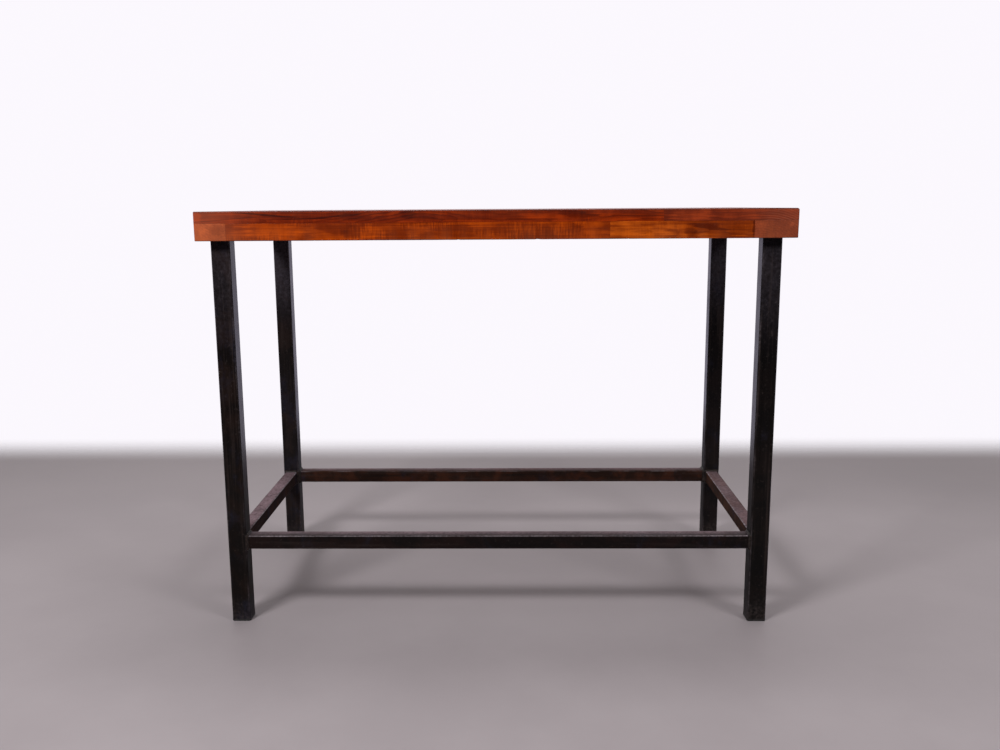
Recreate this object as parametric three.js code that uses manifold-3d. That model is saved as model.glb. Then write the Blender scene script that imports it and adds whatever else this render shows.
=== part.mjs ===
// Standing-height table: an edge-glued wooden top with a deep lipping, dropped over a
// welded frame of square steel tube. Millimetres, +Z up, X along the table, front at -Y.
import * as THREE from 'three';
import { mergeVertices } from 'three/addons/utils/BufferGeometryUtils.js';
import Module from 'manifold-3d';

// ---- driving sizes ------------------------------------------------------------------
const tableLength = 1520;
const tableDepth = 740;
const tableHeight = 1110;

const boardThickness = 30;
const boardCount = 5;
const frontBoardRightLength = 337;    // the shorter of the front board's two lengths
const topCornerRadius = 5;            // upright corners of the top
const topArris = 2;                   // softened upper edge
const lippingHeight = 44;
const lippingThickness = 24;
const lippingArris = 1.5;             // softened lower edge
const frontLippingLeftEnd = 81;       // the lengths that the front lipping is made up from,
const frontLippingRightEnd = 110;     // beside one that takes up what is left
const frontLippingRightMiddle = 361;
const glueLine = 0.3;

const frameClearance = 6;             // between the lipping's inner face and the legs
const legSize = 50;
const legWall = 2.5;
const legCornerRadius = 6;
const railSize = 38;
const railWall = 2;
const railCornerRadius = 4;
const lowerRailTop = 243;

const weldLeg = 5.5;                  // how far a fillet weld reaches along each face
const weldBulge = 0.5;
const weldClearance = 0.3;

const tabLength = 44;
const tabReach = 32;                  // how far a fixing tab stands in from its rail
const tabThickness = 5;
const tabCornerRadius = 6;
const tabSlotWidth = 5.6;
const tabSlotLength = 12;
const tabsPerHalfRail = 1;

const screwRadius = 2.2;
const screwLength = 26;               // under the head
const screwPoint = 6;
const screwHeadRadius = 5;
const screwHeadHeight = 3.2;
const screwRecessWidth = 1.2;
const screwRecessLength = 5.2;
const screwRecessDepth = 1.8;
const screwClearance = 0.3;

const footThickness = 5;
const footOverhang = 0.5;             // the foot is this much wider than its leg, all round
const footArris = 1.5;
const footPlugHeight = 22;
const footPlugWall = 2.5;
const footPlugGap = 1.4;              // between the plug's wall and the tube
const footRibCount = 3;
const footRibHeight = 1.6;
const footRibClearance = 0.3;

const cornerSteps = 4;                // facets in a quarter turn

// ---- places worked out from the sizes -----------------------------------------------
const boardsUnderside = tableHeight - boardThickness;
const legInset = lippingThickness + frameClearance;
const legX = tableLength / 2 - legInset - legSize / 2;
const legY = tableDepth / 2 - legInset - legSize / 2;
const longRailLength = 2 * legX - legSize;
const shortRailLength = 2 * legY - legSize;
const frontBoardJoint = tableLength / 2 - frontBoardRightLength;
const frontLippingRightJoint = tableLength / 2 - frontLippingRightEnd;
const frontLippingJoints = [
  frontLippingLeftEnd - tableLength / 2,
  frontLippingRightJoint - frontLippingRightMiddle,
  frontLippingRightJoint,
];
const lowerRailZ = lowerRailTop - railSize / 2;
const upperRailZ = boardsUnderside - weldClearance - railSize / 2;

const wood = (colour) => new THREE.MeshStandardMaterial({ color: colour, roughness: 0.42 });
const boardWood = wood(0x7a3014);
const lippingWood = wood(0x93431c);
const tubeSteel = new THREE.MeshStandardMaterial({ color: 0x201d1d, roughness: 0.38, metalness: 0.7 });
const screwSteel = new THREE.MeshStandardMaterial({ color: 0x8f8d86, roughness: 0.35, metalness: 1 });
const footPlastic = new THREE.MeshStandardMaterial({ color: 0x141414, roughness: 0.6 });

const table = new THREE.Group();

function addPiece(name, geometry, material, position = [0, 0, 0]) {
  const mesh = new THREE.Mesh(geometry, material);
  mesh.name = name;
  mesh.position.set(...position);
  table.add(mesh);
}

// ---- forms --------------------------------------------------------------------------
function roundedRectangle(width, depth, radius) {
  const points = [];
  const centres = [[1, 1], [-1, 1], [-1, -1], [1, -1]];
  centres.forEach(([sideX, sideY], quarter) => {
    for (let step = 0; step <= cornerSteps; step += 1) {
      const angle = (quarter + step / cornerSteps) * Math.PI / 2;
      points.push(new THREE.Vector2(
        sideX * (width / 2 - radius) + radius * Math.cos(angle),
        sideY * (depth / 2 - radius) + radius * Math.sin(angle),
      ));
    }
  });
  return points;
}

// Joins outlines of equal point count, laid at rising heights. A ring joins the last one
// back to the first; otherwise both ends are capped.
function loft(layers, ring = false) {
  const count = layers[0].outline.length;
  const positions = layers.flatMap(({ outline, z }) => outline.flatMap((point) => [point.x, point.y, z]));
  const index = [];
  const spans = ring ? layers.length : layers.length - 1;
  for (let span = 0; span < spans; span += 1) {
    const lower = span * count;
    const upper = ((span + 1) % layers.length) * count;
    for (let i = 0; i < count; i += 1) {
      const next = (i + 1) % count;
      index.push(lower + i, lower + next, upper + next, lower + i, upper + next, upper + i);
    }
  }
  if (!ring) {
    const lastLayer = (layers.length - 1) * count;
    THREE.ShapeUtils.triangulateShape(layers[0].outline, []).forEach(([a, b, c]) => {
      index.push(c, b, a, lastLayer + a, lastLayer + b, lastLayer + c);
    });
  }
  const geometry = new THREE.BufferGeometry();
  geometry.setAttribute('position', new THREE.Float32BufferAttribute(positions, 3));
  geometry.setIndex(index);
  return geometry;
}

// A rounded plate from bottom to top, with its lower and upper edges softened.
function softPlate({ width, depth, radius, bottom, top, lowerArris = 0, upperArris = 0 }) {
  const layerAt = (inset, z) => (
    { outline: roundedRectangle(width - 2 * inset, depth - 2 * inset, radius - inset), z }
  );
  const steps = [0, 1 / 3, 2 / 3, 1].map((share) => share * Math.PI / 2);
  const lower = lowerArris > 0
    ? steps.map((a) => layerAt(lowerArris * (1 - Math.sin(a)), bottom + lowerArris * (1 - Math.cos(a))))
    : [layerAt(0, bottom)];
  const upper = upperArris > 0
    ? steps.map((a) => layerAt(upperArris * (1 - Math.cos(a)), top - upperArris * (1 - Math.sin(a))))
    : [layerAt(0, top)];
  return loft([...lower, ...upper]);
}

function hollowSection(size, wall, radius, length) {
  const section = new THREE.Shape(roundedRectangle(size, size, radius));
  section.holes.push(new THREE.Path(roundedRectangle(size - 2 * wall, size - 2 * wall, radius - wall / 2)));
  return new THREE.ExtrudeGeometry(section, { depth: length, bevelEnabled: false });
}

// Turns a form built along +Z so that it runs along a level direction, its local Y up.
function aimed(geometry, [x, y]) {
  const along = new THREE.Vector3(x, y, 0);
  const up = new THREE.Vector3(0, 0, 1);
  const side = new THREE.Vector3().crossVectors(up, along);
  return geometry.clone().applyMatrix4(new THREE.Matrix4().makeBasis(side, up, along));
}

const boxBetween = (low, high) => new THREE.BoxGeometry(...high.map((value, i) => value - low[i]))
  .translate(...high.map((value, i) => (value + low[i]) / 2));

const uprightCylinder = (radius, bottom, top) => new THREE.CylinderGeometry(radius, radius, top - bottom, 16)
  .applyMatrix4(new THREE.Matrix4().makeRotationX(Math.PI / 2))
  .translate(0, 0, (bottom + top) / 2);

// ---- cutting and joining solids -----------------------------------------------------
const wasm = await Module();
wasm.setup();

function solidOf(geometry) {
  const bare = geometry.clone();
  bare.deleteAttribute('normal');
  bare.deleteAttribute('uv');
  const merged = mergeVertices(bare);
  return new wasm.Manifold(new wasm.Mesh({
    numProp: 3,
    vertProperties: new Float32Array(merged.attributes.position.array),
    triVerts: new Uint32Array(merged.index.array),
  }));
}

function geometryOf(solid) {
  const mesh = solid.getMesh();
  const geometry = new THREE.BufferGeometry();
  geometry.setAttribute('position', new THREE.BufferAttribute(mesh.vertProperties, 3));
  geometry.setIndex(new THREE.BufferAttribute(mesh.triVerts, 1));
  geometry.computeVertexNormals();
  return geometry;
}

// ---- fixing tabs and their screws ---------------------------------------------------
// Each tab is welded to the side of an upper rail, flush with its top. A seat is the middle
// of the tab's welded edge and the way the tab points.
function tabSeats() {
  const innerY = legY - railSize / 2;
  const innerX = legX - railSize / 2;
  const halfRun = longRailLength / 2;
  const seats = [-1, 1].flatMap((side) => [
    { x: side * innerX, y: 0, inward: [-side, 0] },
    { x: side * railSize / 2, y: 0, inward: [side, 0] },
  ]);
  for (let i = 1; i <= tabsPerHalfRail; i += 1) {
    const alongX = halfRun * i / (tabsPerHalfRail + 1);
    for (const x of [-alongX, alongX]) {
      for (const side of [-1, 1]) seats.push({ x, y: side * innerY, inward: [0, -side] });
    }
  }
  return seats;
}

const screwPlaces = tabSeats().map(({ x, y, inward }) => (
  [x + inward[0] * tabReach / 2, y + inward[1] * tabReach / 2]
));

function tabGeometry({ x, y, inward }) {
  const half = tabLength / 2;
  const corner = tabCornerRadius;
  const outline = new THREE.Shape();
  outline.moveTo(-half, 0).lineTo(half, 0).lineTo(half, tabReach - corner);
  outline.absarc(half - corner, tabReach - corner, corner, 0, Math.PI / 2, false);
  outline.lineTo(corner - half, tabReach);
  outline.absarc(corner - half, tabReach - corner, corner, Math.PI / 2, Math.PI, false);
  const slot = new THREE.Path();
  const slotEnd = (tabSlotLength - tabSlotWidth) / 2;
  slot.absarc(0, tabReach / 2 + slotEnd, tabSlotWidth / 2, 0, Math.PI, false);
  slot.absarc(0, tabReach / 2 - slotEnd, tabSlotWidth / 2, Math.PI, 2 * Math.PI, false);
  outline.holes.push(slot);
  const side = new THREE.Vector3(inward[1], -inward[0], 0);
  const reach = new THREE.Vector3(inward[0], inward[1], 0);
  return new THREE.ExtrudeGeometry(outline, { depth: tabThickness, bevelEnabled: false, curveSegments: 5 })
    .applyMatrix4(new THREE.Matrix4().makeBasis(side, reach, new THREE.Vector3(0, 0, 1)))
    .translate(x, y, boardsUnderside - tabThickness);
}

// A pan-head wood screw pointing up, its head's bearing face at z = 0.
function screwSolid() {
  const profile = [
    [0, -screwHeadHeight], [0.55 * screwHeadRadius, -screwHeadHeight],
    [0.9 * screwHeadRadius, -0.62 * screwHeadHeight], [screwHeadRadius, -0.2 * screwHeadHeight],
    [screwHeadRadius, 0], [screwRadius, 0], [screwRadius, screwLength - screwPoint], [0, screwLength],
  ].map(([r, z]) => new THREE.Vector2(r, z));
  const turned = new THREE.LatheGeometry(profile, 14).rotateX(Math.PI / 2);
  const recessTop = screwRecessDepth - screwHeadHeight;
  const arm = [screwRecessLength / 2, screwRecessWidth / 2];
  const below = -screwHeadHeight - 1;
  const across = solidOf(boxBetween([-arm[0], -arm[1], below], [arm[0], arm[1], recessTop]));
  const along = solidOf(boxBetween([-arm[1], -arm[0], below], [arm[1], arm[0], recessTop]));
  return solidOf(turned).subtract(across.add(along));
}

function addTopFixings() {
  const headSeat = boardsUnderside - tabThickness - screwClearance;
  const screw = geometryOf(screwSolid());
  tabSeats().forEach((seat, i) => {
    addPiece(`fixing_tab_${i + 1}`, tabGeometry(seat), tubeSteel);
    addPiece(`fixing_screw_${i + 1}`, screw, screwSteel, [...screwPlaces[i], headSeat]);
  });
}

// ---- the wooden top -----------------------------------------------------------------
const sides = ['left', 'right'];

// Cuts a run of lengths out of one solid, between the joints in X, with a glue line at each.
function cutRun(solid, joints, [frontY, backY], nameOf, material) {
  const ends = [-tableLength, ...joints, tableLength];
  const reach = tableHeight * 2;
  for (let i = 0; i < ends.length - 1; i += 1) {
    const cutter = solidOf(boxBetween(
      [ends[i] + glueLine / 2, frontY + glueLine / 2, -reach],
      [ends[i + 1] - glueLine / 2, backY - glueLine / 2, reach],
    ));
    addPiece(nameOf(i + 1), geometryOf(solid.intersect(cutter)), material);
  }
}

function addBoards() {
  const pilotTop = boardsUnderside - tabThickness + screwLength + screwClearance;
  const pilots = screwPlaces.map(([x, y]) => (
    solidOf(uprightCylinder(screwRadius + screwClearance, boardsUnderside - 1, pilotTop).translate(x, y, 0))
  )).reduce((all, pilot) => all.add(pilot));
  const slab = solidOf(softPlate({
    width: tableLength, depth: tableDepth, radius: topCornerRadius,
    bottom: boardsUnderside, top: tableHeight, upperArris: topArris,
  })).subtract(pilots);
  const boardWidth = tableDepth / boardCount;
  for (let row = 0; row < boardCount; row += 1) {
    const frontY = row === 0 ? -tableDepth : row * boardWidth - tableDepth / 2;
    const backY = row === boardCount - 1 ? tableDepth : (row + 1) * boardWidth - tableDepth / 2;
    const joints = row === 0 ? [frontBoardJoint] : [];
    const name = row === 0 ? 'top_board_front' : `top_board_${row + 1}`;
    cutRun(slab, joints, [frontY, backY], (i) => (row === 0 ? `${name}_${sides[i - 1]}` : name), boardWood);
  }
}

function addLippings() {
  const bottom = boardsUnderside - lippingHeight;
  const top = boardsUnderside - glueLine;
  const innerX = tableLength / 2 - lippingThickness;
  const innerY = tableDepth / 2 - lippingThickness;
  const band = solidOf(softPlate({
    width: tableLength, depth: tableDepth, radius: topCornerRadius,
    bottom, top, lowerArris: lippingArris,
  })).subtract(solidOf(boxBetween([-innerX, -innerY, bottom - 1], [innerX, innerY, top + 1])));
  cutRun(band, frontLippingJoints, [-tableDepth, -innerY], (i) => `front_lipping_${i}`, lippingWood);
  cutRun(band, [], [innerY, tableDepth], () => 'back_lipping', lippingWood);
  cutRun(band, [0], [-innerY, innerY], (i) => `${sides[i - 1]}_lipping`, lippingWood);
}

// ---- the steel frame ----------------------------------------------------------------
const corners = [
  { place: 'front_left', x: -legX, y: -legY }, { place: 'front_right', x: legX, y: -legY },
  { place: 'back_left', x: -legX, y: legY }, { place: 'back_right', x: legX, y: legY },
];

function addLegs() {
  const length = boardsUnderside - footThickness;
  for (const { place, x, y } of corners) {
    const tube = hollowSection(legSize, legWall, legCornerRadius, length);
    addPiece(`leg_${place}`, tube, tubeSteel, [x, y, footThickness]);
  }
}

// The four rails that tie the legs together at one level, each from its first leg's face.
const ringOfRails = [
  { place: 'front', start: [-legX + legSize / 2, -legY], along: [1, 0], length: longRailLength },
  { place: 'back', start: [-legX + legSize / 2, legY], along: [1, 0], length: longRailLength },
  { place: 'left', start: [-legX, -legY + legSize / 2], along: [0, 1], length: shortRailLength },
  { place: 'right', start: [legX, -legY + legSize / 2], along: [0, 1], length: shortRailLength },
];
const middleRail = {
  place: 'middle', start: [0, -legY + railSize / 2], along: [0, 1], length: 2 * legY - railSize,
};

// A solid bar along +Z that flares out at both ends into a fillet weld. Each flare starts behind
// its joint, and is cut there by the tube behind, so that it follows that tube's rounded corners.
function weldedBar(length) {
  const flare = [
    [weldLeg, -legCornerRadius], [weldLeg, 0],
    [0.7 * weldLeg + weldBulge, 0.3 * weldLeg + weldBulge],
    [0.3 * weldLeg + weldBulge, 0.7 * weldLeg + weldBulge],
    [0, weldLeg],
  ];
  const layerAt = ([out, z]) => {
    const size = railSize + 2 * out;
    return { outline: roundedRectangle(size, size, railCornerRadius + out), z };
  };
  const farFlare = flare.map(([out, z]) => [out, length - z]).reverse();
  return loft([...flare, ...farFlare].map(layerAt));
}

// Two welds that meet round one corner of a leg each stop at the diagonal through it.
function mitreLimits(length) {
  const tip = weldClearance - legSize / 2;
  const limits = new THREE.Shape().moveTo(0, tip).lineTo(legSize, tip + legSize)
    .lineTo(legSize, length - tip - legSize).lineTo(0, length - tip)
    .lineTo(-legSize, length - tip - legSize).lineTo(-legSize, tip + legSize);
  return new THREE.ExtrudeGeometry(limits, { depth: 2 * legSize, bevelEnabled: false })
    .translate(0, 0, -legSize).rotateX(Math.PI / 2);
}

function grownBar(size, radius, length) {
  const grown = size + 2 * weldClearance;
  return softPlate({ width: grown, depth: grown, radius: radius + weldClearance, bottom: 0, top: length });
}

function addRail(level, { place, start, along, length }, z, tubesBehind, mitred) {
  const boreSize = railSize - 2 * railWall;
  const bore = softPlate({
    width: boreSize, depth: boreSize, radius: railCornerRadius - railWall / 2,
    bottom: -legSize, top: length + legSize,
  });
  const bar = solidOf(weldedBar(length)).subtract(solidOf(bore));
  const limited = mitred ? bar.intersect(solidOf(mitreLimits(length))) : bar;
  const groundFlush = solidOf(boxBetween(
    [-tableLength, -tableDepth, boardsUnderside - weldClearance / 2],
    [tableLength, tableDepth, tableHeight],
  ));
  const placed = solidOf(aimed(geometryOf(limited), along)).translate([...start, z]);
  const rail = placed.subtract(tubesBehind).subtract(groundFlush);
  addPiece(`${level}_rail_${place}`, geometryOf(rail), tubeSteel);
}

function addRails() {
  const post = solidOf(grownBar(legSize, legCornerRadius, tableHeight));
  const legs = corners.map(({ x, y }) => post.translate([x, y, 0])).reduce((all, leg) => all.add(leg));
  for (const rail of ringOfRails) {
    addRail('lower', rail, lowerRailZ, legs, true);
    addRail('upper', rail, upperRailZ, legs, true);
  }
  const longRails = ringOfRails.slice(0, 2).map(({ start, along, length }) => (
    solidOf(aimed(grownBar(railSize, railCornerRadius, length), along)).translate([...start, upperRailZ])
  ));
  addRail('upper', middleRail, upperRailZ, longRails[0].add(longRails[1]), false);
}

// ---- feet ---------------------------------------------------------------------------
// A moulded foot: a sole under the tube's end and a hollow ribbed plug that grips inside it.
function footGeometry() {
  const soleSize = legSize + 2 * footOverhang;
  const sole = solidOf(softPlate({
    width: soleSize, depth: soleSize, radius: legCornerRadius + footOverhang,
    bottom: 0, top: footThickness, lowerArris: footArris,
  }));
  const bore = legSize - 2 * legWall;
  const boreRadius = legCornerRadius - legWall / 2;
  const sleeve = (gap, bottom, height) => {
    const size = bore - 2 * gap;
    const inside = bore - 2 * (footPlugGap + footPlugWall);
    const section = new THREE.Shape(roundedRectangle(size, size, boreRadius - gap));
    section.holes.push(new THREE.Path(roundedRectangle(inside, inside, 1)));
    return solidOf(new THREE.ExtrudeGeometry(section, { depth: height, bevelEnabled: false }))
      .translate([0, 0, bottom]);
  };
  const overlap = 1;
  const plug = sleeve(footPlugGap, footThickness - overlap, footPlugHeight + overlap);
  const ribPitch = footPlugHeight / (footRibCount + 0.5);
  const ribs = Array.from({ length: footRibCount }, (_, i) => (
    sleeve(footRibClearance, footThickness + ribPitch * (i + 1) - footRibHeight / 2, footRibHeight)
  ));
  return geometryOf([sole, plug, ...ribs].reduce((all, part) => all.add(part)));
}

function addFeet() {
  for (const { place, x, y } of corners) addPiece(`foot_${place}`, footGeometry(), footPlastic, [x, y, 0]);
}

addBoards();
addLippings();
addLegs();
addRails();
addTopFixings();
addFeet();

export default table;
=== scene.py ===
import math
import random

import bmesh
import bpy
from mathutils import Matrix, Vector, noise


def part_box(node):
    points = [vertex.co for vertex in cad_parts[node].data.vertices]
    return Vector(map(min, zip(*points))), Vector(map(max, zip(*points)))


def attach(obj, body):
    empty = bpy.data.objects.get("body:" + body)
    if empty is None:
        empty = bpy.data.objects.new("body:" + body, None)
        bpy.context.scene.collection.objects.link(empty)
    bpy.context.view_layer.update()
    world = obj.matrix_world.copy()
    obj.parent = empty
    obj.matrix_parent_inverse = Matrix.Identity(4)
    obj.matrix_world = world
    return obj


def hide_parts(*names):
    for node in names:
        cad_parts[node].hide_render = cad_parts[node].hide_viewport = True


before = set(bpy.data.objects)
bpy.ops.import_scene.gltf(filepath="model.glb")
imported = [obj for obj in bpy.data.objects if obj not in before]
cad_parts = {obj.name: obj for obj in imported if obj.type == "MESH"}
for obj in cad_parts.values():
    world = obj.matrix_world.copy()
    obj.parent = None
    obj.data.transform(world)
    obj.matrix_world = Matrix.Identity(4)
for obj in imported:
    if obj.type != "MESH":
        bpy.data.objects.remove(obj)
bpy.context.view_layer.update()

MM = 0.001

# ---- places and sizes ----
BOARDS = ["top_board_front_left", "top_board_front_right"] + [f"top_board_{i}" for i in range(2, 6)]
LIPPINGS = [f"front_lipping_{i}" for i in range(1, 5)] + ["back_lipping", "left_lipping", "right_lipping"]
CORNERS = ["front_left", "front_right", "back_left", "back_right"]
RAILS = [("front", 0, -1), ("back", 0, 1), ("left", 1, -1), ("right", 1, 1)]  # side, axis, sign
FIXINGS = 8

LEG_RADIUS = 6 * MM
LEG_WALL = 2.5 * MM
RAIL_SIZE = 38 * MM
RAIL_RADIUS = 4 * MM
RAIL_WALL = 2 * MM
FRAME_CLEARANCE = 0.3 * MM  # between the upper frame and the boards


def centre(node):
    low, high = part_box(node)
    return (low + high) / 2


lows, highs = zip(*(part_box(node) for node in BOARDS + LIPPINGS))
top_low = Vector(min(low[i] for low in lows) for i in range(3))
top_high = Vector(max(high[i] for high in highs) for i in range(3))
leg_low, leg_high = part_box("leg_front_right")
LEG_SIZE = leg_high.x - leg_low.x
LEG_X, LEG_Y, _ = centre("leg_back_right")
BOARDS_UNDERSIDE = leg_high.z
LEVELS = {
    "lower": centre("lower_rail_front").z,
    "upper": BOARDS_UNDERSIDE - FRAME_CLEARANCE - RAIL_SIZE / 2,
}


# ---- node trees ----
def srgb(red, green, blue):
    """A colour as it looks on screen, 0 to 255, in the linear form that shaders take."""
    def linear(value):
        share = value / 255
        return share / 12.92 if share <= 0.04045 else ((share + 0.055) / 1.055) ** 2.4
    return (linear(red), linear(green), linear(blue), 1.0)


class NodeTree:
    """A shader node tree wired up in a few words. A value is a number, a colour or a node's output."""

    def __init__(self, tree):
        self.nodes = tree.nodes
        self.links = tree.links

    def feed(self, socket, value):
        if isinstance(value, bpy.types.NodeSocket):
            self.links.new(value, socket)
        else:
            socket.default_value = value

    def node(self, kind, inputs=None, **settings):
        made = self.nodes.new(kind)
        for key, value in settings.items():
            setattr(made, key, value)
        for key, value in (inputs or {}).items():
            self.feed(made.inputs[key], value)
        return made

    def math(self, operation, first, second=0.0, clamp=False):
        inputs = {0: first, 1: second}
        return self.node("ShaderNodeMath", inputs, operation=operation, use_clamp=clamp).outputs[0]

    def plus(self, first, *others):
        for other in others:
            first = self.math("ADD", first, other)
        return first

    def minus(self, first, second):
        return self.math("SUBTRACT", first, second)

    def times(self, first, *others):
        for other in others:
            first = self.math("MULTIPLY", first, other)
        return first

    def squares(self, first, second):
        return self.plus(self.times(first, first), self.times(second, second))

    def span(self, value, low, high, new_low=0.0, new_high=1.0, shape="LINEAR"):
        """Turns low to high into new_low to new_high, and goes no further at either end."""
        inputs = {"Value": value, "From Min": low, "From Max": high, "To Min": new_low, "To Max": new_high}
        return self.node("ShaderNodeMapRange", inputs, interpolation_type=shape).outputs["Result"]

    def smooth(self, value, low, high, new_low=0.0, new_high=1.0):
        return self.span(value, low, high, new_low, new_high, "SMOOTHSTEP")

    def swing(self, noise_value, amount):
        """A noise turned into a number that swings by this amount in all, evenly about 0."""
        return self.span(noise_value, 0.3, 0.7, -amount / 2, amount / 2)

    def mix(self, share, first, second):
        return self.node("ShaderNodeMix", {0: share, 6: first, 7: second}, data_type="RGBA").outputs[2]

    def mix_value(self, share, first, second):
        return self.node("ShaderNodeMix", {0: share, 2: first, 3: second}, data_type="FLOAT").outputs[0]

    def over(self, colour, *layers):
        """The colour with layers over it: a shade, then shares whose product is how strong it is."""
        for shade, *shares in layers:
            colour = self.mix(self.times(*shares), colour, srgb(*shade))
        return colour

    def xyz(self, vector):
        return self.node("ShaderNodeSeparateXYZ", {"Vector": vector}).outputs


class Material(NodeTree):
    """A principled material. Its place, where noises are read, is in metres on the table."""

    def __init__(self, name, **sockets):
        self.material = bpy.data.materials.new(name)
        self.material.use_nodes = True
        super().__init__(self.material.node_tree)
        self.shader = self.nodes["Principled BSDF"]
        for key, value in sockets.items():
            self.shader.inputs[key.replace("_", " ")].default_value = value
        self.place = self.node("ShaderNodeTexCoord").outputs["Object"]

    def noise(self, scale, detail=3.0, roughness=0.5, distortion=0.0, offset=(0, 0, 0), output="Fac"):
        """Noise with one scale, or with one for each axis."""
        vector = self.place
        if isinstance(scale, tuple):
            stretched = {"Vector": vector, "Scale": scale, "Location": offset}
            vector, scale = self.node("ShaderNodeMapping", stretched).outputs["Vector"], 1.0
        inputs = {"Vector": vector, "Scale": scale, "Detail": detail, "Roughness": roughness,
                  "Distortion": distortion}
        return self.node("ShaderNodeTexNoise", inputs).outputs[output]

    def attribute(self, name):
        return self.node("ShaderNodeAttribute", attribute_name=name).outputs["Fac"]

    def bump(self, heights):
        """Stacks (height, depth in metres, strength) layers into one normal."""
        inputs = {}
        for height, depth, strength in heights:
            inputs.update({"Height": height, "Distance": depth, "Strength": strength})
            inputs["Normal"] = self.node("ShaderNodeBump", inputs).outputs["Normal"]
        self.to("Normal", inputs["Normal"])

    def to(self, socket, value):
        self.feed(self.shader.inputs[socket], value)


# ---- wood ----
TOP_PATINA = 0.42  # how far the upper face has gone brown
PATINA_DEPTH = (1.2 * MM, 0.2 * MM)
FRONT_DEPTH = (9 * MM, 3 * MM)
# a band of painted shade along the lower edge
LOW_EDGE_SHADE = (3.5 * MM, 0.5 * MM)
UPPER_EDGE = (2.6 * MM, 0.8 * MM)
# The pale pinkish tint at the front's ends is dry-looking wood and painted sheen.
DRY_AND_SHEEN_ENDS = (0.57, 0.76)  # distance from the middle where the front starts to look dry, and is driest
ARCS_X, ARCS_Z, ARCS_SPACING = 0.68, 0.95, 5.8 * MM


class Timber(Material):
    """A wood material with the noises that its figure is made of, all stretched along the grain, which its
    place has along the first axis."""

    def __init__(self, name, grain, shift):
        super().__init__(name, Specular_IOR_Level=0.16, Coat_Weight=0.04, Coat_Roughness=0.2)
        self.x, self.y, self.z = self.xyz(self.place)
        along, self.across = (self.x, self.y) if grain == "x" else (self.y, self.x)
        shifted = {i: self.plus(value, shift[i]) for i, value in enumerate((along, self.across, self.z))}
        self.place = self.node("ShaderNodeCombineXYZ", shifted).outputs[0]
        bend = self.noise((2.1, 8, 8), detail=2.5, output="Color")
        self.bend = self.node("ShaderNodeSeparateColor", {"Color": bend}).outputs
        self.ragged = self.noise((14, 160, 160), detail=2.0)
        self.fade = self.smooth(self.noise((2.6, 26, 26), detail=2.0), 0.36, 0.66)
        self.fibre = self.noise((9, 620, 620), detail=4.0, roughness=0.6)
        self.streaks = self.noise((3.2, 95, 95), roughness=0.55)
        self.patches = self.noise((5.5, 9, 16), detail=3.5, roughness=0.6)
        self.pores = self.smooth(self.noise((70, 1500, 1500), detail=1.0), 0.64, 0.74)
        self.at_front = self.smooth(self.y, *(top_low.y + depth for depth in FRONT_DEPTH))


def late_wood(m, pith, ring, wave, sweep):
    """The dark part of each growth ring, round a pith that runs along the grain. A sweep bends the
    rings away past a place along X, as beside a knot."""
    off_across = m.plus(m.minus(m.across, pith[0]), m.span(m.bend[0], 0.25, 0.75, -wave, wave))
    off_up = m.plus(m.minus(m.z, pith[1]), m.span(m.bend[1], 0.25, 0.75, -wave, wave))
    if sweep:
        start, side, curve = sweep
        past = m.math("MAXIMUM", m.times(m.minus(m.x, start), side), 0.0)
        off_up = m.plus(off_up, m.times(past, past, curve))
    distance = m.math("SQRT", m.squares(off_across, off_up))
    turn = m.math("FRACT", m.plus(m.math("DIVIDE", distance, ring), m.swing(m.ragged, 0.4)))
    return m.times(m.smooth(turn, 0.4, 0.88), m.smooth(turn, 1.0, 0.93))


def soft_mark(m, middle_x, middle_z, half_length, half_height, slope):
    """A soft-edged patch or streak in the grain: 1 at its middle, 0 outside it."""
    off_x = m.minus(m.x, middle_x * MM)
    off_z = m.minus(m.minus(m.z, middle_z * MM), m.times(off_x, slope))
    square = m.squares(m.math("DIVIDE", off_x, half_length * MM), m.math("DIVIDE", off_z, half_height * MM))
    return m.smooth(m.plus(square, m.swing(m.ragged, 1.2)), 1.3, 0.1)


def cross_figure(m, strength):
    """Short bars across the grain that come and go, as in quarter-sawn wood."""
    bars = m.noise((270, 30, 22), detail=2.0, roughness=0.6, distortion=0.2)
    where = m.smooth(m.noise((9, 18, 22), detail=2.0), 0.42, 0.66)
    return m.times(m.span(bars, 0.34, 0.66, -0.5, 0.5), where, strength)


def pale_arcs(m):
    """Pale rings round a point below the front edge, as where a branch grew."""
    radius = m.math("SQRT", m.squares(m.minus(m.x, ARCS_X), m.minus(m.z, ARCS_Z)))
    count = m.plus(m.math("DIVIDE", radius, ARCS_SPACING), m.swing(m.bend[2], 1.6))
    crest = m.smooth(m.math("ABSOLUTE", m.minus(m.math("FRACT", count), 0.5)), 0.3, 0.05)
    start = m.smooth(m.x, ARCS_X - 0.03, ARCS_X + 0.02)
    return m.times(crest, start, m.span(m.fade, 0, 1, 0.25, 1.0), m.at_front)


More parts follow.
